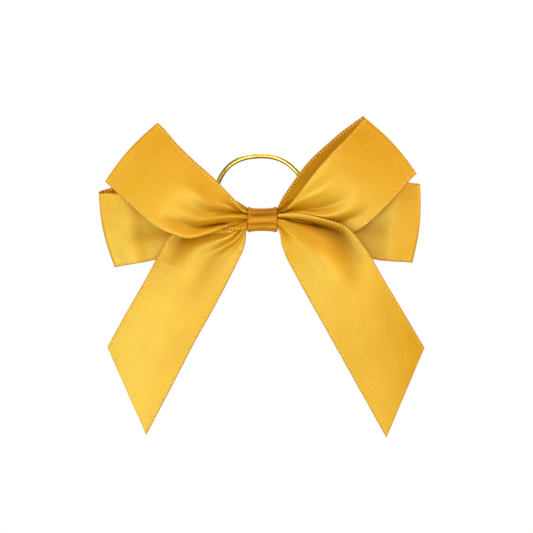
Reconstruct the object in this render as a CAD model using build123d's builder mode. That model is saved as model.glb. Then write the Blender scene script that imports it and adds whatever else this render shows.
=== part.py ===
"""Pre-made satin gift bow: four loops and two tails of folded ribbon, pinched by a thread,
wrapped by a narrow centre band, with an elastic loop caught under the band at the back.

The bow stands upright. +Z is up, +X is to the right and the front faces -Y. The origin is
the middle of the flat back of the band, where the bow rests against what it decorates.
Lengths are in millimetres.
"""

import os
from math import cos, radians, sin, tan

from build123d import *

# ---------------------------------------------------------------- driving dimensions
RIBBON_WIDTH = 25.0
BAND_WIDTH = 9.8
RIBBON = 0.4  # wall that stands for one layer of satin
LAYER_PITCH = 1.05  # between the middles of stacked layers at the knot

BAND_HEIGHT = 8.0
BAND_DEPTH = 9.3
BAND_THICK = 0.3
BAND_CORNER = 2.2
GLUE_THICK = 0.12
SEAM_REACH = 2.4  # how far each end of the band passes the middle at the back

CORD_DIAMETER = 1.6
CORD_CLEARANCE = 0.1
CORD_LEAN = 8.0  # degrees that the elastic loop leans back from upright
CORD_END_GAP = 0.6  # between the two ends, hidden under the band

THREAD = 0.4
THREAD_TURNS = 3

# how far each joint's pivot stands from the middle of the knot, and the round root there
PIVOT_X = 8.3
ROOT_RADIUS = 2.9
ROOT_U = 1.0  # where the layers' sections start, inside the knot, before the outline cuts them
PAST_RIBBON = 2 * RIBBON_WIDTH  # reaches past every edge of a piece of ribbon, for cutting it out

# ---------------------------------------------------------------- places along Y
BAND_INNER_BACK = -2 * BAND_THICK - GLUE_THICK
CORD_Y = BAND_INNER_BACK - CORD_CLEARANCE - CORD_DIAMETER / 2
CORE_BACK = CORD_Y - CORD_DIAMETER / 2 - CORD_CLEARANCE
CORE_FRONT = -BAND_DEPTH + BAND_THICK
CORE_HALF_HEIGHT = BAND_HEIGHT / 2 - BAND_THICK
FRONT_LAYER_DEPTH = 0.75  # how far behind the core's front the first layer leaves the knot
FRONT_LAYER_Y = CORE_FRONT + FRONT_LAYER_DEPTH


def layer_y(number):
    """Middle of a ribbon layer where it leaves the knot, counted from the front."""
    return FRONT_LAYER_Y + number * LAYER_PITCH


def along(direction_deg):
    """Plane through the knot whose x runs out along a direction in XZ and whose y is +Y."""
    turn = radians(direction_deg)
    return Plane(
        origin=(0, 0, 0),
        x_dir=(cos(turn), 0, sin(turn)),
        z_dir=(-sin(turn), 0, cos(turn)),
    )


def export(name, builder):
    """Label a finished piece and write it."""
    builder.part.label = name
    export_step(builder.part, f"parts/{name}.step")


os.makedirs("parts", exist_ok=True)


# ---------------------------------------------------------------- ribbon loops
def hairpin(shoulder, fold_at, front, back, inset):
    """Front layer, fold and back layer of a loop, moved inwards by inset.

    front and back are the layer's places along Y as (at the knot, at the shoulder).
    """
    front_root, front_y = front[0] + inset, front[1] + inset
    back_root, back_y = back[0] - inset, back[1] - inset
    belly = 0.55 * shoulder
    front_belly = front_y + 0.06 * (front_root - front_y)
    back_belly = back_y + 0.3 * (back_root - back_y)
    Spline(
        (ROOT_U, front_root),
        (belly, front_belly),
        (shoulder, front_y),
        tangents=((1, 0), (1, 0)),
    )
    ThreePointArc(
        (shoulder, front_y),
        (fold_at - inset, (front_y + back_y) / 2),
        (shoulder, back_y),
    )
    Spline(
        (shoulder, back_y),
        (belly, back_belly),
        (ROOT_U, back_root),
        tangents=((-1, 0), (-1, 0)),
    )


def ribbon_loop(direction_deg, fold_at, front_y, back_y, knot_layers, outline):
    """One loop: out along the front, round the fold and home along the back.

    outline is a function that draws the loop's edge as it is seen from the front.
    """
    front = (layer_y(knot_layers[0]) - RIBBON / 2, front_y)
    back = (layer_y(knot_layers[1]) + RIBBON / 2, back_y)
    shoulder = fold_at - (back_y - front_y) / 2
    with BuildPart() as loop:
        with BuildSketch(along(direction_deg)):
            with BuildLine():
                hairpin(shoulder, fold_at, front, back, 0)
                hairpin(shoulder, fold_at, front, back, RIBBON)
                Line((ROOT_U, front[0]), (ROOT_U, front[0] + RIBBON))
                Line((ROOT_U, back[0] - RIBBON), (ROOT_U, back[0]))
            make_face()
        extrude(amount=PAST_RIBBON, both=True)
        with BuildSketch(Plane.XZ):
            with BuildLine():
                outline()
            make_face()
        extrude(amount=PAST_RIBBON, both=True, mode=Mode.INTERSECT)
    return loop


def root_end(pivot_x, pivot_z, out_deg):
    """Round root of a piece, centred on its pivot, and its two ends."""
    turn = radians(out_deg)
    side_x, side_z = -sin(turn) * ROOT_RADIUS, cos(turn) * ROOT_RADIUS
    first = (pivot_x + side_x, pivot_z + side_z)
    last = (pivot_x - side_x, pivot_z - side_z)
    middle = (
        pivot_x - cos(turn) * ROOT_RADIUS,
        pivot_z - sin(turn) * ROOT_RADIUS,
    )
    ThreePointArc(first, middle, last)
    return first, last


def upper_left_outline():
    lower_root, upper_root = root_end(-PIVOT_X, 1.0, 150)
    Polyline(upper_root, (-36.7, 33.8), (-54.4, 14.2), (-51.4, 11.5))
    Spline(
        (-51.4, 11.5),
        (-43.8, 5.3),
        (-29.9, -4.8),
        (-24.1, -6.3),
        (-15.0, -3.3),
        lower_root,
    )


def upper_right_outline():
    upper_root, lower_root = root_end(PIVOT_X, 1.0, 30)
    Polyline(upper_root, (35.6, 36.9), (53.4, 17.2), (51.0, 14.5))
    Spline(
        (51.0, 14.5),
        (44.2, 7.7),
        (31.6, -3.8),
        (24.5, -6.3),
        (15.0, -3.6),
        lower_root,
    )


def lower_left_outline():
    lower_root, upper_root = root_end(-PIVOT_X, -0.4, 185)
    Spline(upper_root, (-17.0, 6.2), (-30.0, 11.2), (-40.0, 11.9), (-52.0, 9.7))
    Polyline((-52.0, 9.7), (-56.5, 8.8), (-51.3, -16.0), (-46.0, -15.3))
    Spline((-46.0, -15.3), (-38.0, -14.2), (-24.0, -9.6), lower_root)


def lower_right_outline():
    upper_root, lower_root = root_end(PIVOT_X, -0.4, -5)
    Spline(upper_root, (17.0, 6.4), (29.0, 11.6), (38.0, 12.6), (50.0, 11.9))
    Polyline((50.0, 11.9), (55.0, 11.6), (52.4, -14.4), (47.0, -14.1))
    Spline((47.0, -14.1), (38.0, -13.2), (24.0, -9.2), lower_root)


UPPER_LEFT = dict(
    direction_deg=138.0,
    fold_at=47.9,
    front_y=-17.2,
    back_y=-8.6,
    knot_layers=(0, 1),
    outline=upper_left_outline,
)
UPPER_RIGHT = dict(
    direction_deg=42.3,
    fold_at=49.2,
    front_y=-14.2,
    back_y=-7.2,
    knot_layers=(1, 2),
    outline=upper_right_outline,
)
LOWER_LEFT = dict(
    direction_deg=192.0,
    fold_at=51.8,
    front_y=-5.9,
    back_y=-0.6,
    knot_layers=(3, 4),
    outline=lower_left_outline,
)
LOWER_RIGHT = dict(
    direction_deg=-5.7,
    fold_at=51.8,
    front_y=-5.9,
    back_y=-0.6,
    knot_layers=(3, 4),
    outline=lower_right_outline,
)

export("upper_left_loop", ribbon_loop(**UPPER_LEFT))
export("upper_right_loop", ribbon_loop(**UPPER_RIGHT))
export("lower_left_loop", ribbon_loop(**LOWER_LEFT))
export("lower_right_loop", ribbon_loop(**LOWER_RIGHT))


# ---------------------------------------------------------------- tails
def drape(places, lift):
    """A tail's line through its places along the ribbon, moved along Y by lift."""
    Spline(*[(reach, y + lift) for reach, y in places])


def ribbon_tail(direction_deg, places, outline):
    """One tail: out of the knot, over the loop beside it, then down to its cut end."""
    near, far = places[0], places[-1]
    with BuildPart() as tail:
        with BuildSketch(along(direction_deg)):
            with BuildLine():
                drape(places, -RIBBON / 2)
                drape(places, RIBBON / 2)
                Line((near[0], near[1] - RIBBON / 2), (near[0], near[1] + RIBBON / 2))
                Line((far[0], far[1] - RIBBON / 2), (far[0], far[1] + RIBBON / 2))
            make_face()
        extrude(amount=PAST_RIBBON, both=True)
        with BuildSketch(Plane.XZ):
            with BuildLine():
                outline()
            make_face()
        extrude(amount=PAST_RIBBON, both=True, mode=Mode.INTERSECT)
    return tail


def left_tail_outline():
    right_root, left_root = root_end(-PIVOT_X, -2.6, 241)
    Spline(left_root, (-19.0, -2.2), (-28.9, -4.6), (-33.0, -9.4), (-36.2, -15.0))
    Line((-36.2, -15.0), (-51.4, -42.4))
    Line((-51.4, -42.4), (-38.5, -71.6))
    Line((-38.5, -71.6), (-9.3, -16.7))
    Spline((-9.3, -16.7), (-6.6, -11.0), right_root)


def right_tail_outline():
    left_root, right_root = root_end(PIVOT_X, -1.4, -55)
    Spline(left_root, (6.6, -8.6), (11.8, -20.2))
    Line((11.8, -20.2), (41.1, -72.3))
    Line((41.1, -72.3), (53.7, -42.4))
    Line((53.7, -42.4), (37.6, -15.6))
    Spline((37.6, -15.6), (31.0, -5.2), (22.2, -0.2), (14.0, 1.2), right_root)


LEFT_DRAPE = [(ROOT_U, layer_y(2)), (12.0, -6.4), (30.0, -7.0), (48.0, -6.9), (84.0, -3.0)]
RIGHT_DRAPE = [(ROOT_U, layer_y(0)), (18.0, -13.9), (30.0, -15.4), (44.0, -14.0), (84.0, -4.0)]

export("left_tail", ribbon_tail(241.4, LEFT_DRAPE, left_tail_outline))
export("right_tail", ribbon_tail(-60.6, RIGHT_DRAPE, right_tail_outline))

# ---------------------------------------------------------------- knot
CORE_DEPTH = CORE_BACK - CORE_FRONT
CORE_MIDDLE = (CORE_BACK + CORE_FRONT) / 2
CORE_OVERHANG = 0.1  # how far the core shows past each side of the band
CORE_LENGTH = BAND_WIDTH + 2 * CORE_OVERHANG
CORE_SLACK = 0.1  # between the core and the band
CORE_CORNER = 1.8
THREAD_GROOVE = 1.1 * THREAD
THREAD_WIDTH = THREAD_TURNS * THREAD
GROOVE_SIDE_GAP = 0.05  # between the outer turns and the groove's sides
OUTSIDE_CORE = 1.0

# x of this plane is +Y, and y is +Z
knot_plane = Plane(origin=(0, CORE_MIDDLE, 0), x_dir=(0, 1, 0), z_dir=(1, 0, 0))


def knot_section(inset, mode=Mode.ADD):
    """Rounded section of the gathered ribbon, made smaller all round by inset."""
    RectangleRounded(
        CORE_DEPTH - 2 * inset,
        2 * CORE_HALF_HEIGHT - 2 * inset,
        CORE_CORNER - inset,
        mode=mode,
    )


with BuildPart() as gathered_core:
    with BuildSketch(knot_plane):
        knot_section(CORE_SLACK)
    extrude(amount=CORE_LENGTH / 2, both=True)
    # the groove that the thread pulls into the ribbon
    with BuildSketch(knot_plane):
        knot_section(-OUTSIDE_CORE)
        knot_section(CORE_SLACK + THREAD_GROOVE, mode=Mode.SUBTRACT)
    extrude(amount=THREAD_WIDTH / 2 + GROOVE_SIDE_GAP, both=True, mode=Mode.SUBTRACT)
export("gathered_core", gathered_core)

with BuildPart() as binding_thread:
    for turn in range(THREAD_TURNS):
        middle = (turn - (THREAD_TURNS - 1) / 2) * THREAD
        with BuildSketch(knot_plane.offset(middle)):
            knot_section(CORE_SLACK + THREAD_GROOVE - THREAD)
            knot_section(CORE_SLACK + THREAD_GROOVE, mode=Mode.SUBTRACT)
        extrude(amount=THREAD / 2, both=True)
    # round the turns' outer edges so that each reads as a thread
    rims = binding_thread.faces().filter_by(Axis.X).sort_by(Axis.X)
    fillet(rims[-1].outer_wire().edges() + rims[0].outer_wire().edges(), THREAD / 3)
export("binding_thread", binding_thread)

# ---------------------------------------------------------------- centre band
# x of this plane is +Y, and y is +Z
band_plane = Plane(origin=(0, 0, 0), x_dir=(0, 1, 0), z_dir=(1, 0, 0))
HALF_HEIGHT = BAND_HEIGHT / 2
UNDER_FLAP_Y = -BAND_THICK - GLUE_THICK  # back face of the end that lies underneath

with BuildPart() as centre_band:
    with BuildSketch(band_plane):
        with BuildLine():
            # outer face, from the end underneath, round the knot, to the end on top
            FilletPolyline(
                (UNDER_FLAP_Y, SEAM_REACH),
                (UNDER_FLAP_Y, -HALF_HEIGHT),
                (-BAND_DEPTH, -HALF_HEIGHT),
                (-BAND_DEPTH, HALF_HEIGHT),
                (0, HALF_HEIGHT),
                (0, -SEAM_REACH),
                radius=BAND_CORNER,
            )
            offset(amount=BAND_THICK, side=Side.LEFT)
        make_face()
    extrude(amount=BAND_WIDTH / 2, both=True)
export("centre_band", centre_band)

GLUE_SIDE_MARGIN = 0.5
GLUE_END_MARGIN = 0.4
GLUE_CORNER = 0.5

with BuildPart() as band_glue:
    with BuildSketch(Plane.XZ.offset(BAND_THICK)):
        Rectangle(BAND_WIDTH - 2 * GLUE_SIDE_MARGIN, 2 * (SEAM_REACH - GLUE_END_MARGIN))
    extrude(amount=GLUE_THICK)
    fillet(band_glue.edges().filter_by(Axis.Y), GLUE_CORNER)
export("band_glue", band_glue)

# ---------------------------------------------------------------- elastic loop
# Corners of the route in the loop's own plane, as (x, height above the pivot).
LOOP_ROUTE = [
    (-CORD_END_GAP / 2, 0.0),
    (-9.8, 0.0),
    (-16.8, 5.4),
    (-16.0, 14.2),
    (-8.2, 20.7),
    (5.4, 21.4),
    (14.2, 15.0),
    (16.0, 5.4),
    (9.4, 0.0),
    (CORD_END_GAP / 2, 0.0),
]
lean = radians(CORD_LEAN)
loop_plane = Plane(
    origin=(0, CORD_Y, 0), x_dir=(1, 0, 0), z_dir=(0, -cos(lean), sin(lean))
)


def bend_radii(route, share=0.45):
    """Largest radius at each corner that its two runs leave room for."""
    corners = [Vector(*point) for point in route]
    radii = []
    for before, corner, after in zip(corners, corners[1:], corners[2:]):
        come, leave = corner - before, after - corner
        turn = radians(come.get_angle(leave))
        radii.append(share * min(come.length, leave.length) / tan(turn / 2))
    return radii


with BuildPart() as elastic_loop:
    with BuildLine(loop_plane) as loop_line:
        FilletPolyline(*LOOP_ROUTE, radius=bend_radii(LOOP_ROUTE))
    with BuildSketch(Plane(origin=loop_line.line @ 0, z_dir=loop_line.line % 0)):
        Circle(CORD_DIAMETER / 2)
    sweep()
export("elastic_loop", elastic_loop)

print("elastic loop length", round(sum(edge.length for edge in loop_line.edges()), 1))
print("elastic loop bends", [round(radius, 1) for radius in bend_radii(LOOP_ROUTE)])
print("elastic loop volume", round(elastic_loop.part.volume, 2))
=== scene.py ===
"""Looks of the satin gift bow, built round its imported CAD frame.

Shapes are worked out in millimetres in the CAD frame (front faces -Y, +Z up) and turned into
metres where a mesh is made. Each stretch of ribbon is a ladder of rungs, from one selvedge to
the other, with pleats sunk into it where it is gathered at the knot.
"""

from math import cos, pi, radians, sin

import bpy
import numpy as np
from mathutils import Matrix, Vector


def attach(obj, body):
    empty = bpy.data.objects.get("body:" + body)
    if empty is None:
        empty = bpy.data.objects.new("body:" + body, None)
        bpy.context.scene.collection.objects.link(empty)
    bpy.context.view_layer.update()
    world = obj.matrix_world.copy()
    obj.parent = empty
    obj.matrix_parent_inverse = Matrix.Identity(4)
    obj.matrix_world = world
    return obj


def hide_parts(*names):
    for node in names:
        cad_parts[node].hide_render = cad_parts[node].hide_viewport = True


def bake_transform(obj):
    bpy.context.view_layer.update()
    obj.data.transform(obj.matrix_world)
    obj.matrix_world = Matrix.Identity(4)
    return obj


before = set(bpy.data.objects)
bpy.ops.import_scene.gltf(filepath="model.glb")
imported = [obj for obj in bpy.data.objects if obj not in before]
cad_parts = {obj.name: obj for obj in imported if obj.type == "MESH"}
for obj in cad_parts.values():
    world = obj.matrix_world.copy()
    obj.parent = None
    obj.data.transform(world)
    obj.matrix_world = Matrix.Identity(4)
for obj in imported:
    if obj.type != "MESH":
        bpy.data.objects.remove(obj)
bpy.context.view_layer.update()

MM = 0.001

# ---------------------------------------------------------------- camera
FRAME_WIDTH = 176.4  # what the picture spans at the bow, in millimetres
PICTURE_CENTRE = (1.4, -15.7)  # x and z in the middle of the picture
BOW_MIDDLE_Y = -10.0
LENS = 150.0
SENSOR = 36.0


def add_camera():
    data = bpy.data.cameras.new("camera")
    data.lens = LENS
    data.sensor_width = SENSOR
    data.clip_start = 0.01
    camera = bpy.data.objects.new("camera", data)
    distance = FRAME_WIDTH * LENS / SENSOR
    camera.location = (
        PICTURE_CENTRE[0] * MM,
        (BOW_MIDDLE_Y - distance) * MM,
        PICTURE_CENTRE[1] * MM,
    )
    camera.rotation_euler = (pi / 2, 0, 0)
    bpy.context.scene.collection.objects.link(camera)
    bpy.context.scene.camera = camera


add_camera()

# ---------------------------------------------------------------- elastic loop
CORD_DIAMETER = 1.6
CORD_Y = -1.62
CORD_LEAN = 8.0
CORD_END_GAP = 0.6
# corners of the route in the loop's own plane, as (x, height above the pivot)
LOOP_ROUTE = [
    (-CORD_END_GAP / 2, 0.0),
    (-9.8, 0.0),
    (-15.9, 5.4),
    (-14.9, 14.2),
    (-8.4, 21.2),
    (5.0, 22.0),
    (13.4, 15.2),
    (15.4, 5.4),
    (9.4, 0.0),
    (CORD_END_GAP / 2, 0.0),
]
CORD_RINGS_PER_MM = 5
CORD_SIDES = 20
BRAID_PITCH = 1.2
BRAID_STRANDS = 6
BRAID_DEPTH = 0.03


def link(name, mesh):
    obj = bpy.data.objects.new(name, mesh)
    bpy.context.scene.collection.objects.link(obj)
    return obj


def cord_line():
    """Points of the route's smooth line, in millimetres."""
    lean = radians(CORD_LEAN)
    curve = bpy.data.curves.new("cord_route", "CURVE")
    curve.dimensions = "3D"
    curve.resolution_u = 24
    spline = curve.splines.new("NURBS")
    spline.points.add(len(LOOP_ROUTE) - 1)
    for point, (x, height) in zip(spline.points, LOOP_ROUTE):
        point.co = (x, CORD_Y + height * sin(lean), height * cos(lean), 1)
    spline.order_u = 3
    spline.use_endpoint_u = True
    route = link("cord_route", curve)
    bpy.context.view_layer.update()
    line = bpy.data.meshes.new_from_object(route)
    points = np.array([v.co[:] for v in line.vertices])
    bpy.data.objects.remove(route)
    bpy.data.meshes.remove(line)
    bpy.data.curves.remove(curve)
    return points


def resample(points, step):
    """The same line with even steps."""
    lengths = np.linalg.norm(np.diff(points, axis=0), axis=1)
    reach = np.concatenate([[0], np.cumsum(lengths)])
    count = max(2, int(round(reach[-1] / step)) + 1)
    wanted = np.linspace(0, reach[-1], count)
    return np.stack([np.interp(wanted, reach, points[:, k]) for k in range(3)], axis=1)


def grid_faces(rows, columns, closed=False, first=0):
    """Quads of a grid of vertices laid out row by row."""
    faces = []
    last = columns if closed else columns - 1
    for i in range(rows - 1):
        for j in range(last):
            a = first + i * columns + j
            b = first + i * columns + (j + 1) % columns
            faces.append((a, b, b + columns, a + columns))
    return faces


def make_cord():
    line = resample(cord_line(), 1 / CORD_RINGS_PER_MM)
    tangents = np.gradient(line, axis=0)
    tangents /= np.linalg.norm(tangents, axis=1)[:, None]
    lean = radians(CORD_LEAN)
    across = np.array([0, -cos(lean), sin(lean)])  # square to the loop's plane
    sides = np.cross(tangents, across)
    angles = np.linspace(0, 2 * pi, CORD_SIDES, endpoint=False)
    verts = []
    for i, (centre, side) in enumerate(zip(line, sides)):
        reach = i / CORD_RINGS_PER_MM
        turn = 2 * pi * reach / BRAID_PITCH
        one_way = np.cos(BRAID_STRANDS * angles + turn)
        other_way = np.cos(BRAID_STRANDS * angles - turn)
        radius = CORD_DIAMETER / 2 * (1 - BRAID_DEPTH * (1 - np.maximum(one_way, other_way)) / 2)
        ring = centre + radius[:, None] * (
            np.cos(angles)[:, None] * side + np.sin(angles)[:, None] * across
        )
        verts.append(ring)
    verts = np.concatenate(verts)
    faces = grid_faces(len(line), CORD_SIDES, closed=True)
    faces.append(tuple(range(CORD_SIDES))[::-1])
    top = (len(line) - 1) * CORD_SIDES
    faces.append(tuple(range(top, top + CORD_SIDES)))
    mesh = bpy.data.meshes.new("elastic_cord")
    mesh.from_pydata((verts * MM).tolist(), [], faces)
    mesh.shade_smooth()
    obj = link("elastic_cord", mesh)
    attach(obj, "hanger")
    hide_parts("elastic_loop")
    return obj


elastic = make_cord()

# ---------------------------------------------------------------- ribbon surfaces
RIBBON_WIDTH = 25.0
CLOTH = 0.26  # thickness of the satin
ALONG_STEP = 0.4
ACROSS = 80  # steps across the ribbon
STITCH_PITCH = 1.1
STITCH_INSET = 0.66
STITCH_LENGTH = 0.68
STITCH_SLANT = 0.35  # how far a stitch leans across the selvedge, against its run
STITCH_WIDTH = 1.10
STITCH_HEIGHT = 0.56
STITCH_SIDES = 8


def smooth_through(points, values):
    """Cubic through the rows of points, at values that run from 0 to 1 by distance."""
    points = np.asarray(points, float)
    gaps = np.linalg.norm(np.diff(points, axis=0), axis=1)
    knots = np.concatenate([[0], np.cumsum(gaps)])
    knots /= knots[-1]
    slopes = np.empty_like(points)
    secants = np.diff(points, axis=0) / np.diff(knots)[:, None]
    before, after = np.diff(knots)[:-1, None], np.diff(knots)[1:, None]
    slopes[1:-1] = (secants[:-1] * after + secants[1:] * before) / (before + after)
    slopes[0], slopes[-1] = secants[0], secants[-1]
    at = np.clip(np.searchsorted(knots, values, side="right") - 1, 0, len(knots) - 2)
    span = (knots[at + 1] - knots[at])[:, None]
    t = ((values - knots[at]) / span[:, 0])[:, None]
    h00, h10 = 2 * t**3 - 3 * t**2 + 1, t**3 - 2 * t**2 + t
    h01, h11 = -2 * t**3 + 3 * t**2, t**3 - t**2
    return (
        h00 * points[at]
        + h10 * span * slopes[at]
        + h01 * points[at + 1]
        + h11 * span * slopes[at + 1]
    )


def smoothstep(low, high, value):
    t = np.clip((value - low) / (high - low), 0, 1)
    return t * t * (3 - 2 * t)


def rung(lower, upper, depth, tilt=0.0, crown=0.0):
    """One crossing of the ribbon: its selvedge points as (x, z), the y of its middle, how
    much further back its upper side is, and how far its middle stands towards -Y."""
    return (*lower, *upper, depth, tilt, crown)


def fold_rungs(front, back, out, steps=6):
    """Rungs of the half turn between the front layer's last rung and the back's first."""
    front, back = np.array(front), np.array(back)
    radius = (back[4] - front[4]) / 2
    push = np.array([out[0], out[1], out[0], out[1], 0, 0, 0]) * radius
    rungs = []
    for step in range(1, steps + 1):
        turn = pi * step / (steps + 1)
        share = (1 - cos(turn)) / 2
        rungs.append(front + (back - front) * share + push * sin(turn))
    return rungs


def ladder(rungs):
    """Grid of points along and across a ribbon, and the distance of each row along it."""
    rungs = np.array(rungs, float)
    middles = np.stack(
        [(rungs[:, 0] + rungs[:, 2]) / 2, (rungs[:, 1] + rungs[:, 3]) / 2, rungs[:, 4]], axis=1
    )
    length = np.linalg.norm(np.diff(middles, axis=0), axis=1).sum()
    rows = int(length / ALONG_STEP)
    rails = smooth_through(rungs, np.linspace(0, 1, rows))
    v = np.linspace(0, 1, ACROSS + 1)[None]
    lower_x, lower_z, upper_x, upper_z, depth, tilt, crown = rails.T[:, :, None]
    points = np.empty((rows, ACROSS + 1, 3))
    points[..., 0] = lower_x + (upper_x - lower_x) * v
    points[..., 1] = depth + tilt * (v - 0.5) - crown * np.sin(pi * v)
    points[..., 2] = lower_z + (upper_z - lower_z) * v
    steps = np.linalg.norm(np.diff(points[:, ACROSS // 2], axis=0), axis=1)
    reach = np.concatenate([[0], np.cumsum(steps)])
    return points, reach, v


CREASE_SHADE_FULL_DEPTH = 3.0  # depth of a crease that takes the cloth's full painted crease shade


def carve(points, reach, v, creases, strength=1.0):
    """Sinks creases into the sheet along +Y, or raises ridges where their depth is below 0.

    A crease is (sharpness, [(reach, v, depth, width), ...]): width is a share of the ribbon, and a
    sharpness of 2 is a soft valley, where 1 is a knife crease. Returns how deep in a crease each
    point ends up, from 0 to 1, which the satin paints as shade.
    """
    crease_shade = np.zeros(points.shape[:2])
    for sharpness, stations in creases:
        at, centre, depth, width = np.array(stations).T
        centre = np.interp(reach, at, centre)[:, None]
        width = np.interp(reach, at, width)[:, None]
        depth = np.interp(reach, at, depth, right=0.0)[:, None]
        sunk = strength * depth * np.exp(-((np.abs(v - centre) / width) ** sharpness))
        points[..., 1] += sunk
        # painted shade: the deeper a point sinks into the creases, the darker the satin paints it
        crease_shade += np.maximum(sunk, 0)
    return np.minimum(crease_shade / CREASE_SHADE_FULL_DEPTH, 1)


def ripple(points, reach, v, count, height, fade, phase):
    """Fine gathers that run out from the knot and die away over the distance called fade."""
    wave = np.sin(2 * pi * count * v + phase) + 0.5 * np.sin(2 * pi * count * 1.7 * v + 2 * phase)
    points[..., 1] += height * wave * np.exp(-((reach[:, None] / fade) ** 1.5)) * np.sin(pi * v)


KNOT_MIDDLE_Y = -4.95
KNOT_HALF_Y = 3.9
KNOT_HALF_Z = 3.7
KNOT_SQUARENESS = 4
PINCH_INSIDE, PINCH_OUTSIDE = 4.8, 6.0  # where the band's grip is full, and where it ends


def squeeze(points):
    """Pulls whatever runs through the knot inside the band, as the band does."""
    y = (points[..., 1] - KNOT_MIDDLE_Y) / KNOT_HALF_Y
    z = points[..., 2] / KNOT_HALF_Z
    size = (np.abs(y) ** KNOT_SQUARENESS + np.abs(z) ** KNOT_SQUARENESS) ** (1 / KNOT_SQUARENESS)
    grip = 1 - smoothstep(PINCH_INSIDE, PINCH_OUTSIDE, np.abs(points[..., 0]))
    scale = 1 + (1 / np.maximum(size, 1) - 1) * grip
    points[..., 1] = KNOT_MIDDLE_Y + (points[..., 1] - KNOT_MIDDLE_Y) * scale
    points[..., 2] *= scale


FLAP_GAP = 0.9  # how far the turned-down corner stands off the ribbon under it


def turn_down(points, reach, v, flap):
    """Folds the corner beside v = 0 down over the front, by stations of (reach, share of the
    ribbon that is turned down, its drop along Z)."""
    if not flap:
        return
    at, share, drop = np.array(flap).T
    shares, drops = np.interp(reach, at, share), np.interp(reach, at, drop)
    across = v[0]
    for row, part, fall in zip(points, shares, drops):
        if part <= 0:
            continue
        under = np.clip((across - part) / (1 - part), 0, 1)
        spread = np.stack([np.interp(under, across, row[:, k]) for k in range(3)], axis=1)
        turned = np.clip(1 - across / part, 0, 1)
        rounding = np.sin(pi / 2 * np.minimum(1, 3 * turned))
        spread[:, 1] -= FLAP_GAP * rounding * min(1, part / 0.05)
        spread[:, 2] += fall * turned
        row[:] = spread


def surface_normals(points):
    along = np.gradient(points, axis=0)
    across = np.gradient(points, axis=1)
    normals = np.cross(along, across)
    return normals / np.linalg.norm(normals, axis=2)[..., None]


REVERSE_SLOT = 1  # material slot of the dull side


def cloth_mesh(name, points, crease_shade):
    """Closed thin sheet from a grid, with a UV map in ribbon widths and its shares of painted
    crease shade.
    """
    rows, columns = points.shape[:2]
    normals = surface_normals(points)
    face = (points + normals * CLOTH / 2).reshape(-1, 3)
    reverse = (points - normals * CLOTH / 2).reshape(-1, 3)
    count = rows * columns
    faces = grid_faces(rows, columns)
    under = [tuple(k + count for k in quad[::-1]) for quad in faces]
    edge = (
        list(range(columns))
        + [i * columns + columns - 1 for i in range(1, rows)]
        + [(rows - 1) * columns + j for j in range(columns - 2, -1, -1)]
        + [i * columns for i in range(rows - 2, 0, -1)]
    )
    rim = []
    for a, b in zip(edge, edge[1:] + edge[:1]):
        rim.append((b, a, a + count, b + count))
    mesh = bpy.data.meshes.new(name)
    mesh.from_pydata((np.concatenate([face, reverse]) * MM).tolist(), [], faces + under + rim)
    sides = [0] * len(faces) + [REVERSE_SLOT] * len(under) + [0] * len(rim)
    mesh.polygons.foreach_set("material_index", sides)
    steps = np.linalg.norm(np.diff(points[:, columns // 2], axis=0), axis=1)
    along = np.concatenate([[0], np.cumsum(steps)]) / RIBBON_WIDTH
    u = np.tile(np.repeat(along, columns), 2)
    v = np.tile(np.linspace(0, 1, columns), 2 * rows)
    layer = mesh.uv_layers.new(name="ribbon")
    corners = np.empty(len(mesh.loops), int)
    mesh.loops.foreach_get("vertex_index", corners)
    layer.data.foreach_set("uv", np.stack([u[corners], v[corners]], axis=1).reshape(-1))
    # painted shade, darker down in the creases, read by the satin materials
    shares = mesh.attributes.new("crease_shade", "FLOAT", "POINT")
    shares.data.foreach_set("value", np.tile(crease_shade.reshape(-1), 2))
    mesh.shade_smooth()
    return mesh


def bead(centre, along, side, up, first):
    """Vertices and faces of one plump stitch."""
    verts = [centre - along * STITCH_LENGTH / 2]
    for slide, size in ((-0.3, 0.8), (0.0, 1.0), (0.3, 0.8)):
        for k in range(STITCH_SIDES):
            turn = 2 * pi * k / STITCH_SIDES
            verts.append(
                centre
                + along * STITCH_LENGTH * slide
                + side * cos(turn) * STITCH_WIDTH / 2 * size
                + up * sin(turn) * STITCH_HEIGHT / 2 * size
            )
    verts.append(centre + along * STITCH_LENGTH / 2)
    last = first + 3 * STITCH_SIDES + 1
    faces = []
    for k in range(STITCH_SIDES):
        n = (k + 1) % STITCH_SIDES
        faces.append((first, first + 1 + n, first + 1 + k))
        for ring in range(2):
            a = first + 1 + ring * STITCH_SIDES
            b = a + STITCH_SIDES
            faces.append((a + k, a + n, b + n, b + k))
        a = first + 1 + 2 * STITCH_SIDES
        faces.append((last, a + k, a + n))
    return verts, faces


def at_distance(reach, rows, distance):
    return np.array([np.interp(distance, reach, rows[:, k]) for k in range(3)])


def selvedge_rail(points, normals, inset):
    """Line of points that stays the inset inside the selvedge at column 0, and the cloth's
    normals along it."""
    rail, facing = [], []
    for row, row_normals in zip(points, normals):
        steps = np.linalg.norm(np.diff(row, axis=0), axis=1)
        across = np.concatenate([[0], np.cumsum(steps)])
        rail.append([np.interp(inset, across, row[:, k]) for k in range(3)])
        facing.append([np.interp(inset, across, row_normals[:, k]) for k in range(3)])
    return np.array(rail), np.array(facing)


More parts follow.
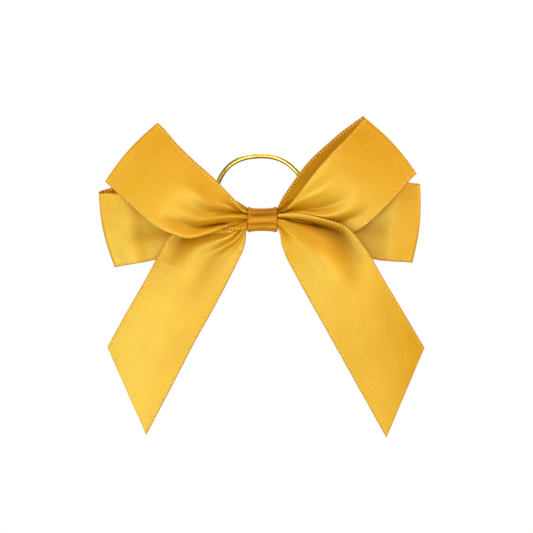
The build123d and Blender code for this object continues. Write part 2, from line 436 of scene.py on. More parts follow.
def stitches_mesh(name, points):
    """Rows of small stitches that pierce the ribbon just inside each selvedge."""
    normals = surface_normals(points)
    verts, faces = [], []
    for order in (1, -1):
        rail, facing = selvedge_rail(points[:, ::order], normals[:, ::order], STITCH_INSET)
        steps = np.linalg.norm(np.diff(rail, axis=0), axis=1)
        reach = np.concatenate([[0], np.cumsum(steps)])
        for at in np.arange(STITCH_PITCH / 2, reach[-1], STITCH_PITCH):
            centre = at_distance(reach, rail, at)
            along = at_distance(reach, rail, at + 0.2) - at_distance(reach, rail, at - 0.2)
            along /= np.linalg.norm(along) + 1e-9
            up = at_distance(reach, facing, at)
            side = np.cross(up, along)
            side /= np.linalg.norm(side) + 1e-9
            along += STITCH_SLANT * side
            along /= np.linalg.norm(along)
            side = np.cross(up, along)
            more_verts, more_faces = bead(centre, along, side, np.cross(along, side), len(verts))
            verts += more_verts
            faces += more_faces
    mesh = bpy.data.meshes.new(name)
    mesh.from_pydata((np.array(verts) * MM).tolist(), [], faces)
    mesh.shade_smooth()
    return mesh


# ---------------------------------------------------------------- the four loops
# Rungs run outwards from the knot along the front, then home along the back.
LOOPS = {
    "upper_left": dict(
        out=(-0.743, 0.669),
        front=[
            rung((-3.0, -1.3), (-3.0, 2.5), -8.0),
            rung((-5.6, -1.5), (-5.4, 2.9), -8.7, -0.6),
            rung((-10.8, -2.3), (-7.6, 4.9), -10.4, -1.8, 0.3),
            rung((-17.2, -4.8), (-10.1, 7.4), -13.2, -0.4, 0.6),
            rung((-24.1, -6.6), (-12.6, 10.0), -15.6, 1.0, 0.8),
            rung((-30.1, -5.0), (-16.0, 13.4), -17.2, 1.8, 0.8),
            rung((-36.5, -1.4), (-21.9, 18.6), -17.5, 2.0, 0.8),
            rung((-43.4, 4.7), (-27.8, 24.4), -15.7, 1.4, 0.8),
            rung((-51.1, 11.6), (-33.8, 31.1), -11.7, 0.0, 0.5),
        ],
        back=[
            rung((-51.1, 11.6), (-33.8, 30.8), -9.5, 0.0, -0.2),
            rung((-44.0, 5.8), (-28.0, 23.2), -7.9, 0.0, -0.4),
            rung((-36.2, 0.6), (-22.0, 17.0), -7.7, 0.0, -0.5),
            rung((-28.0, -3.2), (-15.8, 11.2), -7.8, 0.0, -0.4),
            rung((-18.0, -3.8), (-11.4, 7.6), -7.8, 0.0, -0.2),
            rung((-10.0, -2.4), (-8.2, 5.9), -7.5),
            rung((-5.6, -1.5), (-5.2, 4.2), -7.2),
            rung((-3.0, -1.2), (-3.0, 3.4), -7.2),
        ],
        creases=[
            (1.4, [
                (0, 0.76, 1.0, 0.05), (2.6, 0.75, 2.0, 0.06), (6.5, 0.77, 1.4, 0.07),
                (11, 0.79, 0.8, 0.08), (15, 0.78, 0.4, 0.08), (21, 0.77, 0, 0.08),
            ]),
            (1.5, [
                (2.6, 0.73, 1.2, 0.06), (6.5, 0.64, 2.0, 0.08), (11, 0.59, 1.6, 0.09),
                (16, 0.55, 1.0, 0.10), (22, 0.50, 0.5, 0.12), (30, 0.46, 0, 0.14),
            ]),
            (2.0, [
                (0, 0.50, -0.3, 0.08), (6, 0.42, -0.4, 0.10), (14, 0.38, -0.3, 0.12),
                (24, 0.34, 0, 0.14),
            ]),
            (1.1, [
                (0, 0.31, 1.0, 0.07), (2.6, 0.30, 2.4, 0.08), (6.5, 0.14, 2.8, 0.08),
                (11, 0.24, 3.2, 0.06), (16, 0.25, 2.4, 0.06), (21, 0.23, 1.2, 0.07),
                (25, 0.22, 0.5, 0.08), (30, 0.22, 0, 0.10),
            ]),
            (2.0, [
                (8, 0.03, 0.2, 0.08), (12, 0.04, -0.5, 0.09), (18, 0.04, -1.0, 0.09),
                (26, 0.03, -0.5, 0.10), (34, 0.03, 0, 0.1),
            ]),
            (2.0, [(14, 0.70, -0.2, 0.1), (22, 0.68, -0.6, 0.12), (32, 0.66, 0, 0.14)]),
        ],
        ripples=(4, 0.22, 12.0, 0.6),
    ),
    "upper_right": dict(
        out=(0.739, 0.673),
        front=[
            rung((3.0, -1.6), (3.0, 2.4), -7.0),
            rung((5.6, -1.8), (5.6, 2.6), -7.6),
            rung((10.5, -2.6), (8.4, 4.2), -9.0, -1.2),
            rung((16.5, -4.6), (11.2, 7.4), -10.8, -2.8, 0.5),
            rung((24.0, -6.6), (14.6, 11.8), -12.6, -3.6, 0.9),
            rung((31.6, -3.8), (18.2, 16.4), -13.9, -3.0, 1.0),
            rung((38.8, 2.0), (23.8, 22.7), -13.9, -1.6, 1.0),
            rung((44.3, 7.7), (28.4, 27.4), -12.5, -0.4, 0.8),
            rung((50.4, 14.4), (33.0, 32.6), -9.8, 0.0, 0.5),
        ],
        back=[
            rung((50.4, 14.4), (32.8, 33.8), -7.8, 0.0, -0.2),
            rung((43.6, 7.6), (26.6, 29.3), -6.8, 0.0, -0.4),
            rung((37.0, 1.6), (21.1, 24.6), -6.8, 0.0, -0.5),
            rung((29.0, -3.6), (15.2, 19.0), -6.8, 0.0, -0.4),
            rung((19.0, -4.6), (10.2, 12.4), -6.7, 0.0, -0.2),
            rung((11.0, -2.8), (7.2, 8.0), -6.4),
            rung((5.6, -1.8), (5.0, 4.4), -6.1),
            rung((3.0, -1.6), (3.0, 3.0), -6.0),
        ],
        creases=[
            (1.2, [
                (0, 0.88, 0.8, 0.06), (2.6, 0.89, 2.6, 0.05), (5, 0.93, 2.0, 0.04),
                (7.5, 0.95, 0, 0.04),
            ]),
            (1.6, [
                (2.6, 0.80, 1.2, 0.08), (6.7, 0.82, 1.8, 0.07), (11.2, 0.70, 1.8, 0.07),
                (16.8, 0.57, 1.3, 0.08), (23, 0.47, 0.7, 0.09), (32, 0.42, 0, 0.10),
            ]),
            (2.0, [
                (8, 0.92, -0.3, 0.06), (16, 0.82, -0.7, 0.10), (23, 0.75, -0.8, 0.12),
                (34, 0.70, 0, 0.14),
            ]),
            (1.8, [
                (6, 0.70, -0.2, 0.06), (11.2, 0.57, -0.8, 0.06), (16.8, 0.43, -0.9, 0.07),
                (23, 0.30, -0.5, 0.09), (32, 0.24, 0, 0.1),
            ]),
            (1.5, [
                (2.6, 0.40, 1.0, 0.08), (8, 0.42, 1.6, 0.08), (14, 0.32, 1.6, 0.08),
                (20, 0.24, 1.4, 0.08), (28, 0.16, 0.5, 0.10), (34, 0.14, 0, 0.10),
            ]),
        ],
        ripples=(4, 0.22, 14.0, 2.1),
    ),
    "lower_left": dict(
        out=(-0.978, -0.207),
        front=[
            rung((-3.0, -2.4), (-3.0, 2.0), -4.9),
            rung((-5.6, -2.8), (-5.6, 2.2), -4.9),
            rung((-12.0, -5.4), (-11.0, 5.0), -4.9),
            rung((-20.0, -8.6), (-19.0, 7.6), -4.8, 0.0, 0.1),
            rung((-29.0, -11.9), (-29.0, 9.0), -4.8, -0.2, 0.1),
            rung((-37.6, -13.9), (-40.0, 8.9), -5.8, -0.3, 0.3),
            rung((-43.0, -14.9), (-47.4, 8.6), -6.6, -0.2, 0.4),
            rung((-48.0, -15.7), (-53.3, 8.8), -4.6, 0.0, 0.3),
        ],
        back=[
            rung((-48.0, -15.7), (-53.4, 9.8), -2.2),
            rung((-42.0, -14.4), (-46.0, 11.8), -0.7),
            rung((-36.0, -13.2), (-38.0, 11.9), -0.8),
            rung((-29.0, -11.6), (-29.0, 11.4), -1.2),
            rung((-20.0, -8.6), (-19.0, 8.4), -2.6),
            rung((-12.0, -5.4), (-11.0, 5.2), -3.4),
            rung((-5.6, -2.8), (-5.6, 2.4), -3.8),
            rung((-3.0, -2.4), (-3.0, 2.0), -3.9),
        ],
        creases=[
            (2.0, [
                (4, 0.50, 0.5, 0.12), (20, 0.50, 0.8, 0.14), (34, 0.46, 0.7, 0.16),
                (46, 0.42, 0, 0.16),
            ]),
        ],
        ripples=(3, 0.2, 16.0, 1.2),
    ),
    "lower_right": dict(
        out=(0.995, -0.1),
        front=[
            rung((3.0, -2.4), (3.0, 2.0), -4.9),
            rung((5.6, -2.8), (5.6, 2.2), -4.9),
            rung((12.0, -5.2), (11.0, 5.0), -4.9),
            rung((20.0, -8.4), (19.0, 8.6), -4.9),
            rung((29.0, -11.4), (29.0, 11.6), -4.9, 0.0, 0.1),
            rung((37.0, -13.3), (38.6, 12.6), -5.5, 0.1, 0.3),
            rung((43.0, -14.0), (45.0, 12.9), -6.0, 0.1, 0.4),
            rung((48.8, -14.3), (51.4, 11.9), -4.6, 0.0, 0.3),
        ],
        back=[
            rung((48.8, -14.3), (51.4, 12.1), -2.2),
            rung((42.0, -13.6), (44.0, 12.8), -0.7),
            rung((36.0, -12.6), (37.0, 12.6), -0.8),
            rung((29.0, -11.2), (29.0, 11.8), -1.2),
            rung((20.0, -8.4), (19.0, 8.6), -2.6),
            rung((12.0, -5.2), (11.0, 5.2), -3.4),
            rung((5.6, -2.8), (5.6, 2.4), -3.8),
            rung((3.0, -2.4), (3.0, 2.0), -3.9),
        ],
        creases=[
            (2.0, [
                (4, 0.50, 0.5, 0.12), (20, 0.50, 0.7, 0.14), (34, 0.46, 0.5, 0.16),
                (46, 0.42, 0, 0.16),
            ]),
        ],
        ripples=(3, 0.2, 16.0, 0.3),
    ),
}

# ---------------------------------------------------------------- the two tails
# lower is the outer selvedge of the left tail and the inner one of the right tail
TAILS = {
    "left": dict(
        rungs=[
            rung((-3.0, -0.2), (-3.0, -3.2), -7.6),
            rung((-5.3, -0.4), (-5.1, -4.2), -8.0, 0.8),
            rung((-9.0, -1.8), (-5.5, -7.0), -8.0, 0.8, 0.2),
            rung((-12.6, -3.0), (-6.1, -9.6), -8.0, 0.8, 0.3),
            rung((-20.5, -3.6), (-7.5, -12.9), -7.8, 0.2, 0.7),
            rung((-29.9, -5.0), (-9.4, -16.7), -7.5, 0.0, 1.1),
            rung((-34.4, -11.8), (-12.2, -22.2), -7.4, 0.0, 1.1),
            rung((-38.6, -19.6), (-16.4, -30.0), -7.2, 0.0, 1.0),
            rung((-43.1, -27.3), (-22.4, -40.7), -6.6, 0.0, 0.9),
            rung((-47.5, -35.0), (-29.7, -54.8), -5.2, 0.0, 0.8),
            rung((-51.7, -42.6), (-38.7, -71.9), -3.2, 0.0, 0.6),
        ],
        creases=[
            (1.4, [
                (2, 0.35, 0.5, 0.05), (5, 0.42, 0.9, 0.05), (11, 0.50, 0.7, 0.04),
                (17, 0.52, 0.3, 0.05), (23, 0.54, 0, 0.06),
            ]),
            (1.8, [
                (3, 0.50, -0.2, 0.06), (8, 0.56, -0.4, 0.06), (15, 0.60, -0.2, 0.07),
                (22, 0.62, 0, 0.08),
            ]),
            (1.9, [
                (3, 0.66, 0.3, 0.07), (9, 0.70, 0.5, 0.10), (18, 0.74, 0.8, 0.14),
                (27, 0.74, 0.5, 0.16), (42, 0.72, 0, 0.16),
            ]),
            # sunk under the upper left loop's lower selvedge, and darkened there as the painted
            # shadow that selvedge casts on the tail
            (2.0, [
                (6, 0.16, 0.3, 0.12), (12, 0.15, 1.6, 0.13), (18, 0.16, 2.0, 0.14),
                (23, 0.18, 0.9, 0.13), (28, 0.18, 0, 0.13),
            ]),
        ],
        ripples=(4, 0.18, 12.0, 1.4),
        flap=[
            (0, 0.16, -3.2), (2.6, 0.16, -3.3), (5.2, 0.11, -2.0), (8.6, 0.004, -0.2),
            (9.5, 0, 0),
        ],
    ),
    "right": dict(
        rungs=[
            rung((3.0, -3.0), (3.0, 1.4), -8.3),
            rung((5.2, -4.0), (5.4, 1.7), -8.9),
            rung((6.4, -8.2), (11.2, 2.1), -11.0, -1.0, 0.2),
            rung((7.9, -12.6), (19.4, 0.3), -13.2, -2.0, 0.5),
            rung((10.5, -17.6), (27.6, -2.6), -14.9, -2.4, 0.8),
            rung((14.3, -24.6), (34.1, -10.0), -15.6, -1.8, 1.0),
            rung((19.5, -33.8), (39.4, -18.9), -14.6, -1.0, 1.0),
            rung((26.1, -45.6), (44.5, -27.2), -12.0, -0.4, 0.9),
            rung((33.3, -58.4), (49.5, -35.4), -8.4, 0.0, 0.8),
            rung((41.3, -72.7), (54.0, -42.7), -4.7, 0.0, 0.6),
        ],
        creases=[
            (1.1, [
                (0, 0.78, 0.8, 0.05), (2.4, 0.78, 1.6, 0.05), (6.4, 0.75, 3.0, 0.05),
                (12.4, 0.83, 3.0, 0.05), (17, 0.86, 2.0, 0.07), (22, 0.88, 1.2, 0.09),
                (28, 0.88, 0.5, 0.10), (34, 0.86, 0, 0.1),
            ]),
            (2.0, [
                (4, 0.70, 0.2, 0.12), (12, 0.76, 1.2, 0.14), (20, 0.80, 1.8, 0.15),
                (27, 0.78, 1.0, 0.16), (40, 0.72, 0, 0.18),
            ]),
            (1.6, [(0, 0.22, 0.3, 0.08), (4, 0.24, 0.9, 0.07), (12, 0.30, 0, 0.08)]),
            (2.0, [(10, 0.40, -0.2, 0.12), (22, 0.42, -0.6, 0.16), (40, 0.44, 0, 0.18)]),
        ],
        ripples=(4, 0.18, 12.0, 0.4),
        flap=[],
    ),
}


def satin_piece(name, points, crease_shade, node):
    """One stretch of ribbon with its stitches."""
    cloth = link(name, cloth_mesh(name, points, crease_shade))
    edging = link(name + "_selvedge", stitches_mesh(name + "_selvedge", points))
    for piece in (cloth, edging):
        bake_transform(piece)
    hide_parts(node)
    return cloth, edging


FOLD_BOW = 1.2  # how far the middle of a loop's fold stands beyond its corners
FOLD_BOW_REACH = 6.0
BACK_CREASE = -0.35  # depth of the back layer's creases, as a share of the front's


def make_loop(body, out, front, back, creases, ripples):
    rungs = list(front) + fold_rungs(front[-1], back[0], out) + list(back)
    points, reach, v = ladder(rungs)
    total = reach[-1]
    crease_shade = carve(points, reach, v, creases)
    carve(points, total - reach, v, creases, BACK_CREASE)
    count, height, fade, phase = ripples
    ripple(points, reach, v, count, height, fade, phase)
    ripple(points, total - reach, v, count, height, fade, phase + 1)
    near_fold = np.exp(-(((reach - total / 2) / FOLD_BOW_REACH) ** 2))[:, None]
    bow = FOLD_BOW * np.sin(pi * v) * near_fold
    points[..., 0] += out[0] * bow
    points[..., 2] += out[1] * bow
    squeeze(points)
    if out[0] < 0:
        points = points[:, ::-1]  # the satin side faces out of the loop
        crease_shade = crease_shade[:, ::-1]
    return satin_piece(
        body + "_satin",
        points,
        crease_shade,
        body + "_loop",
    )


def make_tail(side, rungs, creases, ripples, flap):
    points, reach, v = ladder(rungs)
    crease_shade = carve(points, reach, v, creases)
    count, height, fade, phase = ripples
    ripple(points, reach, v, count, height, fade, phase)
    turn_down(points, reach, v, flap)
    squeeze(points)
    first, last = np.array(rungs[1]), np.array(rungs[-1])
    out = last[:2] + last[2:4] - first[:2] - first[2:4]
    out /= np.linalg.norm(out)
    return satin_piece(
        side + "_tail_satin",
        points,
        crease_shade,
        side + "_tail",
    )


satins, edgings = [], []
for body, shape in LOOPS.items():
    cloth, edging = make_loop(body, **shape)
    satins.append(cloth)
    edgings.append(edging)
for side, shape in TAILS.items():
    cloth, edging = make_tail(side, **shape)
    satins.append(cloth)
    edgings.append(edging)

# ---------------------------------------------------------------- centre band
BAND_LENGTH_STEPS = 150
BAND_ACROSS = 30
BAND_HALF_WIDTH = 4.9
BAND_HALF_HEIGHT = 3.95
BAND_FRONT = -9.55
BAND_BACK_IN, BAND_BACK_OUT = -0.47, -0.13  # its two layers at the back, as places along Y
BAND_CINCH = 0.10  # how far its middle is drawn in, as a share of its height
# soft pleats across the front, as (height, depth, half width), and how far they lean
BAND_PLEATS = ((1.6, 0.45, 1.0), (-1.7, 0.35, 0.75), (3.1, 0.2, 0.4))
BAND_PLEAT_LEAN = 0.25
BAND_PLEAT_SHADE = 0.85  # how much of the full painted crease shade the band's deepest pleat takes


def make_band():
    """The narrow ribbon round the knot: its outline, pleats and cinched middle."""
    half_height, front = BAND_HALF_HEIGHT, BAND_FRONT
    back_in, back_out = BAND_BACK_IN, BAND_BACK_OUT
    outline = [
        (back_in, 2.2),
        (back_in, 0.0),
        (back_in, -1.6),
        (back_in - 0.6, -3.3),
        (-2.4, -half_height),
        (-5.0, -half_height - 0.1),
        (front + 1.6, -half_height + 0.1),
        (front + 0.35, -2.9),
        (front, -1.2),
        (front, 1.0),
        (front + 0.35, 2.8),
        (front + 1.6, half_height - 0.2),
        (-5.0, half_height),
        (-2.4, half_height - 0.05),
        (back_out - 0.6, 3.2),
        (back_out, 1.6),
        (back_out, 0.0),
        (back_out, -2.3),
    ]
    line = smooth_through(outline, np.linspace(0, 1, BAND_LENGTH_STEPS))
    v = np.linspace(-1, 1, BAND_ACROSS + 1)
    y, z = line[:, 0:1], line[:, 1:2]
    fronted = smoothstep(-6.5, -8.2, y)
    ridges = 0.0
    for height, depth, width in BAND_PLEATS:
        drift = height + BAND_PLEAT_LEAN * v
        ridges = ridges + depth * np.exp(-(((z - drift) / width) ** 2))
    cinch = 1 - BAND_CINCH * (1 - v**2) * smoothstep(0.5, 3.0, np.abs(z)) * (y < -0.9)
    points = np.empty((BAND_LENGTH_STEPS, BAND_ACROSS + 1, 3))
    points[..., 0] = BAND_HALF_WIDTH * v
    sunk = ridges * fronted * (1 - 0.2 * v**2)
    points[..., 1] = y + sunk
    points[..., 2] = z * cinch
    # painted shade in the pleats, darkest in the deepest one
    # counted the other way across, so that the satin side faces out
    points, crease_shade = points[:, ::-1], BAND_PLEAT_SHADE * (sunk / sunk.max())[:, ::-1]
    band = link("band_satin", cloth_mesh("band_satin", points, crease_shade))
    edging = link("band_selvedge", stitches_mesh("band_selvedge", points))
    for piece in (band, edging):
        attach(piece, "knot")
    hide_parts("centre_band")
    return band, edging


band, band_edging = make_band()

# ---------------------------------------------------------------- gathered core
CORE_HALF_LENGTH = 5.0
CORE_MIDDLE_Y, CORE_HALF_Y, CORE_HALF_Z = -5.6, 2.75, 3.3
CORE_FLUTES, CORE_FLUTE_DEPTH = 14, 0.05
CORE_PINCH, CORE_PINCH_REACH = 0.06, 1.2  # where the thread ties it


def make_core():
    """The gathered middle of the ribbon: a fluted bundle that fills the band."""
    rows, around = 12, 96
    angle = np.linspace(0, 2 * pi, around, endpoint=False)
    x = np.linspace(-CORE_HALF_LENGTH, CORE_HALF_LENGTH, rows)
    flute = 1 + CORE_FLUTE_DEPTH * np.cos(CORE_FLUTES * angle)
    pinch = 1 - CORE_PINCH * np.exp(-((x / CORE_PINCH_REACH) ** 2))
    corner = (np.abs(np.cos(angle)) ** 3 + np.abs(np.sin(angle)) ** 3) ** (-1 / 3)
    points = np.empty((rows, around, 3))
    points[..., 0] = x[:, None]
    across_y = CORE_HALF_Y * corner * flute * np.cos(angle)
    across_z = CORE_HALF_Z * corner * flute * np.sin(angle)
    points[..., 1] = CORE_MIDDLE_Y + pinch[:, None] * across_y[None]
    points[..., 2] = pinch[:, None] * across_z[None]
    faces = grid_faces(rows, around, closed=True)
    faces.append(tuple(range(around))[::-1])
    faces.append(tuple(range((rows - 1) * around, rows * around)))
    mesh = bpy.data.meshes.new("gathered_ribbon")
    mesh.from_pydata((points.reshape(-1, 3) * MM).tolist(), [], faces)
    mesh.shade_smooth()
    core = link("gathered_ribbon", mesh)
    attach(core, "knot")
    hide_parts("gathered_core")
    return core


core = make_core()

# ---------------------------------------------------------------- materials
def new_material(name):
    material = bpy.data.materials.new(name)
    material.use_nodes = True
    tree = material.node_tree
    return material, tree, tree.nodes["Principled BSDF"]


def node(tree, kind, **values):
    made = tree.nodes.new(kind)
    for key, value in values.items():
        setattr(made, key, value)
    return made


def ramp(tree, source, stops):
    made = node(tree, "ShaderNodeValToRGB")
    elements = made.color_ramp.elements
    for element, (place, colour) in zip(elements, (stops[0], stops[-1])):
        element.position = place
        element.color = (*colour, 1)
    for place, colour in stops[1:-1]:
        elements.new(place).color = (*colour, 1)
    tree.links.new(source, made.inputs["Fac"])
    return made.outputs["Color"]


def noise_on(tree, source, scale, stretch, detail):
    """Noise on a UV map, stretched along and across the ribbon."""
    mapping = node(tree, "ShaderNodeMapping")
    mapping.inputs["Scale"].default_value = (stretch[0], stretch[1], 1)
    tree.links.new(source, mapping.inputs["Vector"])
    noise = node(tree, "ShaderNodeTexNoise")
    noise.inputs["Scale"].default_value = scale
    noise.inputs["Detail"].default_value = detail
    tree.links.new(mapping.outputs["Vector"], noise.inputs["Vector"])
    return noise.outputs["Fac"]


def blend_colours(tree, mode, share, first, second):
    mix = node(tree, "ShaderNodeMix", data_type="RGBA", blend_type=mode)
    mix.inputs[0].default_value = share
    tree.links.new(first, mix.inputs[6])
    tree.links.new(second, mix.inputs[7])
    return mix.outputs[2]


POLYESTER_IOR = 1.95
CREASE_SHADE_COLOUR = (0.25, 0.17, 0.14)  # painted shade: what a deep crease does to the colour
CREASE_SHADE_DULLNESS = 0.75  # and how much of the shine the painted shade takes


def satin(name, light, deep, edge, edge_share, roughness, shine=1.0):
    """Warp-faced satin: fine threads along the ribbon under a soft sheen, darker at the selvedges,
    partly for the edge cord and partly as painted shade along the edges, and darker and duller down
    in the creases as painted shade."""
    material, tree, shader = new_material(name)
    uv = node(tree, "ShaderNodeUVMap", uv_map="ribbon").outputs["UV"]
    clouds = noise_on(tree, uv, 1.0, (2.0, 3.0), 2.0)
    body = ramp(tree, clouds, [(0.3, deep), (0.7, light)])
    grain = noise_on(tree, uv, 1.0, (45.0, 80.0), 2.0)
    speckle = ramp(tree, grain, [(0.3, (0.78, 0.72, 0.60)), (0.7, (1.0, 1.0, 1.0))])
    body = blend_colours(tree, "MULTIPLY", 1.0, body, speckle)
    split = node(tree, "ShaderNodeSeparateXYZ")
    tree.links.new(uv, split.inputs[0])
    white = (1.0, 1.0, 1.0)
    # darker band at each selvedge: partly the edge cord, partly painted shade along the edges
    stops = [(0.0, edge), (edge_share * 0.5, edge), (edge_share, white)]
    stops += [(1 - edge_share, white), (1 - edge_share * 0.5, edge), (1.0, edge)]
    edge_cord_and_shade = ramp(tree, split.outputs["Y"], stops)
    body = blend_colours(tree, "MULTIPLY", 1.0, body, edge_cord_and_shade)
    # painted shade: darker colour down in the creases
    crease_shade = node(tree, "ShaderNodeAttribute", attribute_name="crease_shade").outputs["Fac"]
    depth = ramp(tree, crease_shade, [(0.0, white), (1.0, CREASE_SHADE_COLOUR)])
    body = blend_colours(tree, "MULTIPLY", 1.0, body, depth)
    tree.links.new(body, shader.inputs["Base Color"])
    warp = node(tree, "ShaderNodeTexWave", bands_direction="Y")
    warp.inputs["Scale"].default_value = 28.0
    warp.inputs["Distortion"].default_value = 1.0
    warp.inputs["Detail"].default_value = 1.0
    tree.links.new(uv, warp.inputs["Vector"])
    bump = node(tree, "ShaderNodeBump")
    bump.inputs["Strength"].default_value = 0.15
    bump.inputs["Distance"].default_value = 0.00003
    tree.links.new(warp.outputs["Fac"], bump.inputs["Height"])
    tree.links.new(bump.outputs["Normal"], shader.inputs["Normal"])
    tangent = node(tree, "ShaderNodeTangent", direction_type="UV_MAP", uv_map="ribbon")
    tree.links.new(tangent.outputs["Tangent"], shader.inputs["Tangent"])
    shader.inputs["Roughness"].default_value = roughness
    shader.inputs["Anisotropic"].default_value = 0.4
    shader.inputs["IOR"].default_value = POLYESTER_IOR
    # painted shade: less shine down in the creases
    crease_shaded_shine = node(tree, "ShaderNodeMath", operation="MULTIPLY_ADD")
    crease_shaded_shine.inputs[1].default_value = -CREASE_SHADE_DULLNESS * shine
    crease_shaded_shine.inputs[2].default_value = shine
    tree.links.new(crease_shade, crease_shaded_shine.inputs[0])
    tree.links.new(crease_shaded_shine.outputs["Value"], shader.inputs["Specular IOR Level"])
    shader.inputs["Specular Tint"].default_value = (1.0, 0.97, 0.30, 1)
    return material


def thread_like(name, light, deep, roughness, scale, metallic=0.0):
    """Small twisted yarn: colour that varies from strand to strand."""
    material, tree, shader = new_material(name)
    place = node(tree, "ShaderNodeTexCoord")
    noise = node(tree, "ShaderNodeTexNoise")
    noise.inputs["Scale"].default_value = scale
    noise.inputs["Detail"].default_value = 2.0
    tree.links.new(place.outputs["Object"], noise.inputs["Vector"])
    colour = ramp(tree, noise.outputs["Fac"], [(0.35, deep), (0.65, light)])
    tree.links.new(colour, shader.inputs["Base Color"])
    shader.inputs["Roughness"].default_value = roughness
    shader.inputs["Metallic"].default_value = metallic
    return material


ribbon_satin = satin(
    "gold_satin", (0.88, 0.380, 0.003), (0.80, 0.320, 0.002), (0.80, 0.68, 0.52), 0.036, 0.48
)
# the dull reverse side: darker than the face partly because the reverse is duller, partly as
# painted shade for the insides of the loops and the band
reverse_satin_shaded = satin(
    "gold_satin_reverse_shaded",
    (0.70, 0.30, 0.004),
    (0.64, 0.27, 0.003),
    (0.9, 0.8, 0.7),
    0.040,
    0.6,
    shine=0.15,
)
band_satin = satin(
    "band_gold_satin", (0.88, 0.33, 0.012), (0.80, 0.29, 0.010), (0.8, 0.66, 0.56), 0.05, 0.45, 0.36
)
# lighter and paler than the satin: painted highlight on the raised stitches
highlighted_edge_thread = thread_like("selvedge_thread", (0.94, 0.60, 0.12), (0.84, 0.43, 0.05), 0.5, 900)
band_thread_look = thread_like(
    "band_selvedge_thread", (0.70, 0.30, 0.02), (0.54, 0.20, 0.01), 0.5, 900
)
gathered_look = thread_like("gathered_satin", (0.70, 0.34, 0.03), (0.58, 0.26, 0.02), 0.5, 600)
tie_thread = thread_like("tie_thread", (0.80, 0.60, 0.25), (0.62, 0.42, 0.14), 0.7, 1500)
elastic_look = thread_like(
    "metallic_braid", (0.90, 0.66, 0.24), (0.62, 0.43, 0.10), 0.22, 2400, metallic=1.0
)
glue_look = thread_like("clear_adhesive", (0.86, 0.80, 0.62), (0.78, 0.70, 0.50), 0.35, 500)


def dress(obj, *materials):
    """Gives a mesh its materials, keeping which side of the cloth each face is on."""
    slots = [min(face.material_index, len(materials) - 1) for face in obj.data.polygons]
    obj.data.materials.clear()
    for material in materials:
        obj.data.materials.append(material)
    obj.data.polygons.foreach_set("material_index", slots)


for cloth in satins:
    dress(cloth, ribbon_satin, reverse_satin_shaded)
for edging in edgings:
    dress(edging, highlighted_edge_thread)
dress(core, gathered_look)
dress(band, band_satin, reverse_satin_shaded)
dress(band_edging, band_thread_look)
dress(elastic, elastic_look)
dress(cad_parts["binding_thread"], tie_thread)
dress(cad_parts["band_glue"], glue_look)


# ---------------------------------------------------------------- floor, light and world
FLOOR_Z = -0.6
FLOOR_SIDE = 12.0
FLOOR_BACK = 3.5
FLOOR_GLOW = 0.92  # so that the floor meets the white backdrop
AMBIENT_COLOUR = (1.0, 1.0, 0.12, 1)
AMBIENT = 0.235


def show_or_light(tree, shown, kind):
    """Shader that the camera sees as it is, and that gives the bow only the ambient light."""
    ambient = tree.nodes.new(kind)
    ambient.inputs["Color"].default_value = AMBIENT_COLOUR
    ambient.inputs["Strength"].default_value = AMBIENT
    path = tree.nodes.new("ShaderNodeLightPath")
    mix = tree.nodes.new("ShaderNodeMixShader")
    tree.links.new(path.outputs["Is Camera Ray"], mix.inputs["Fac"])
    tree.links.new(ambient.outputs[0], mix.inputs[1])
    tree.links.new(shown, mix.inputs[2])
    return mix.outputs["Shader"]


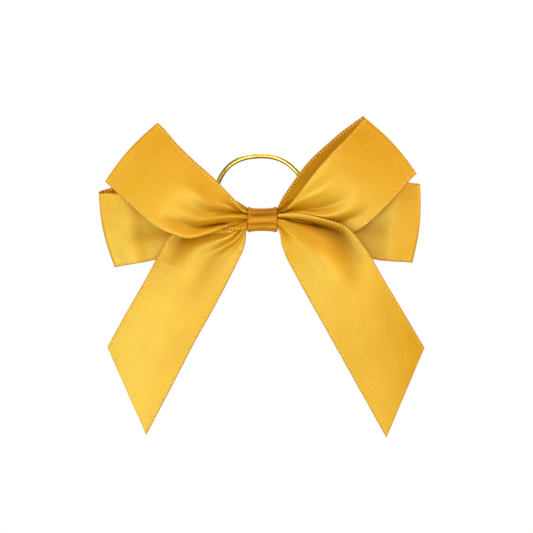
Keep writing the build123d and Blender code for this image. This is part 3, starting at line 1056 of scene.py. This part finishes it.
def add_floor():
    mesh = bpy.data.meshes.new("floor")
    corners = [
        (-FLOOR_SIDE, -FLOOR_SIDE, FLOOR_Z),
        (FLOOR_SIDE, -FLOOR_SIDE, FLOOR_Z),
        (FLOOR_SIDE, FLOOR_BACK, FLOOR_Z),
        (-FLOOR_SIDE, FLOOR_BACK, FLOOR_Z),
    ]
    mesh.from_pydata(corners, [], [(0, 1, 2, 3)])
    floor = link("floor", mesh)
    material, tree, shader = new_material("pale_floor")
    shader.inputs["Base Color"].default_value = (0.9, 0.9, 0.9, 1)
    shader.inputs["Roughness"].default_value = 0.8
    shader.inputs["Emission Color"].default_value = (1, 1, 1, 1)
    shader.inputs["Emission Strength"].default_value = FLOOR_GLOW
    surface = show_or_light(tree, shader.outputs["BSDF"], "ShaderNodeEmission")
    tree.links.new(surface, tree.nodes["Material Output"].inputs["Surface"])
    floor.data.materials.append(material)


def add_area_light(name, place, size, power, colour):
    data = bpy.data.lights.new(name, "AREA")
    data.size = size
    data.energy = power
    data.color = colour
    light = bpy.data.objects.new(name, data)
    light.location = place
    direction = Vector(LIGHT_AIM) - Vector(place)
    light.rotation_euler = direction.to_track_quat("-Z", "Y").to_euler()
    bpy.context.scene.collection.objects.link(light)


def add_world():
    """White to the camera, and warm ambient light to the bow."""
    world = bpy.data.worlds.new("studio")
    bpy.context.scene.world = world
    world.use_nodes = True
    tree = world.node_tree
    backdrop = tree.nodes["Background"]
    backdrop.inputs["Color"].default_value = (1, 1, 1, 1)
    backdrop.inputs["Strength"].default_value = 1.0
    surface = show_or_light(tree, backdrop.outputs["Background"], "ShaderNodeBackground")
    tree.links.new(surface, tree.nodes["World Output"].inputs["Surface"])


LIGHT_AIM = (0, 0, -0.02)
add_floor()
add_world()
# soft lights, each as its place, size, power and colour
LIGHTS = {
    "low_left": ((-0.50, -0.75, -0.45), 0.7, 5.8, (0.72, 1.0, 1.0)),
    "low_right": ((0.40, -0.80, -0.50), 0.7, 3.0, (0.92, 1.0, 0.78)),
    "front": ((0.0, -1.1, -0.02), 0.5, 3.3, (1.0, 0.92, 0.76)),
    "top": ((0.0, -0.45, 0.85), 0.5, 2.1, (1.0, 0.72, 0.52)),
    "left": ((-0.95, -0.25, 0.20), 0.4, 2.6, (1.0, 0.88, 0.50)),
    "high_left": ((-0.55, -0.80, 0.45), 0.4, 0.6, (1.0, 0.88, 0.60)),
    "right": ((0.95, -0.25, 0.20), 0.4, 4.2, (1.0, 0.74, 0.50)),
    "back": ((0.2, 0.7, 0.4), 0.7, 6.0, (1.0, 1.0, 1.0)),
}
for name, (place, size, power, colour) in LIGHTS.items():
    add_area_light(name, place, size, power, colour)
bpy.context.scene.view_settings.view_transform = "Standard"
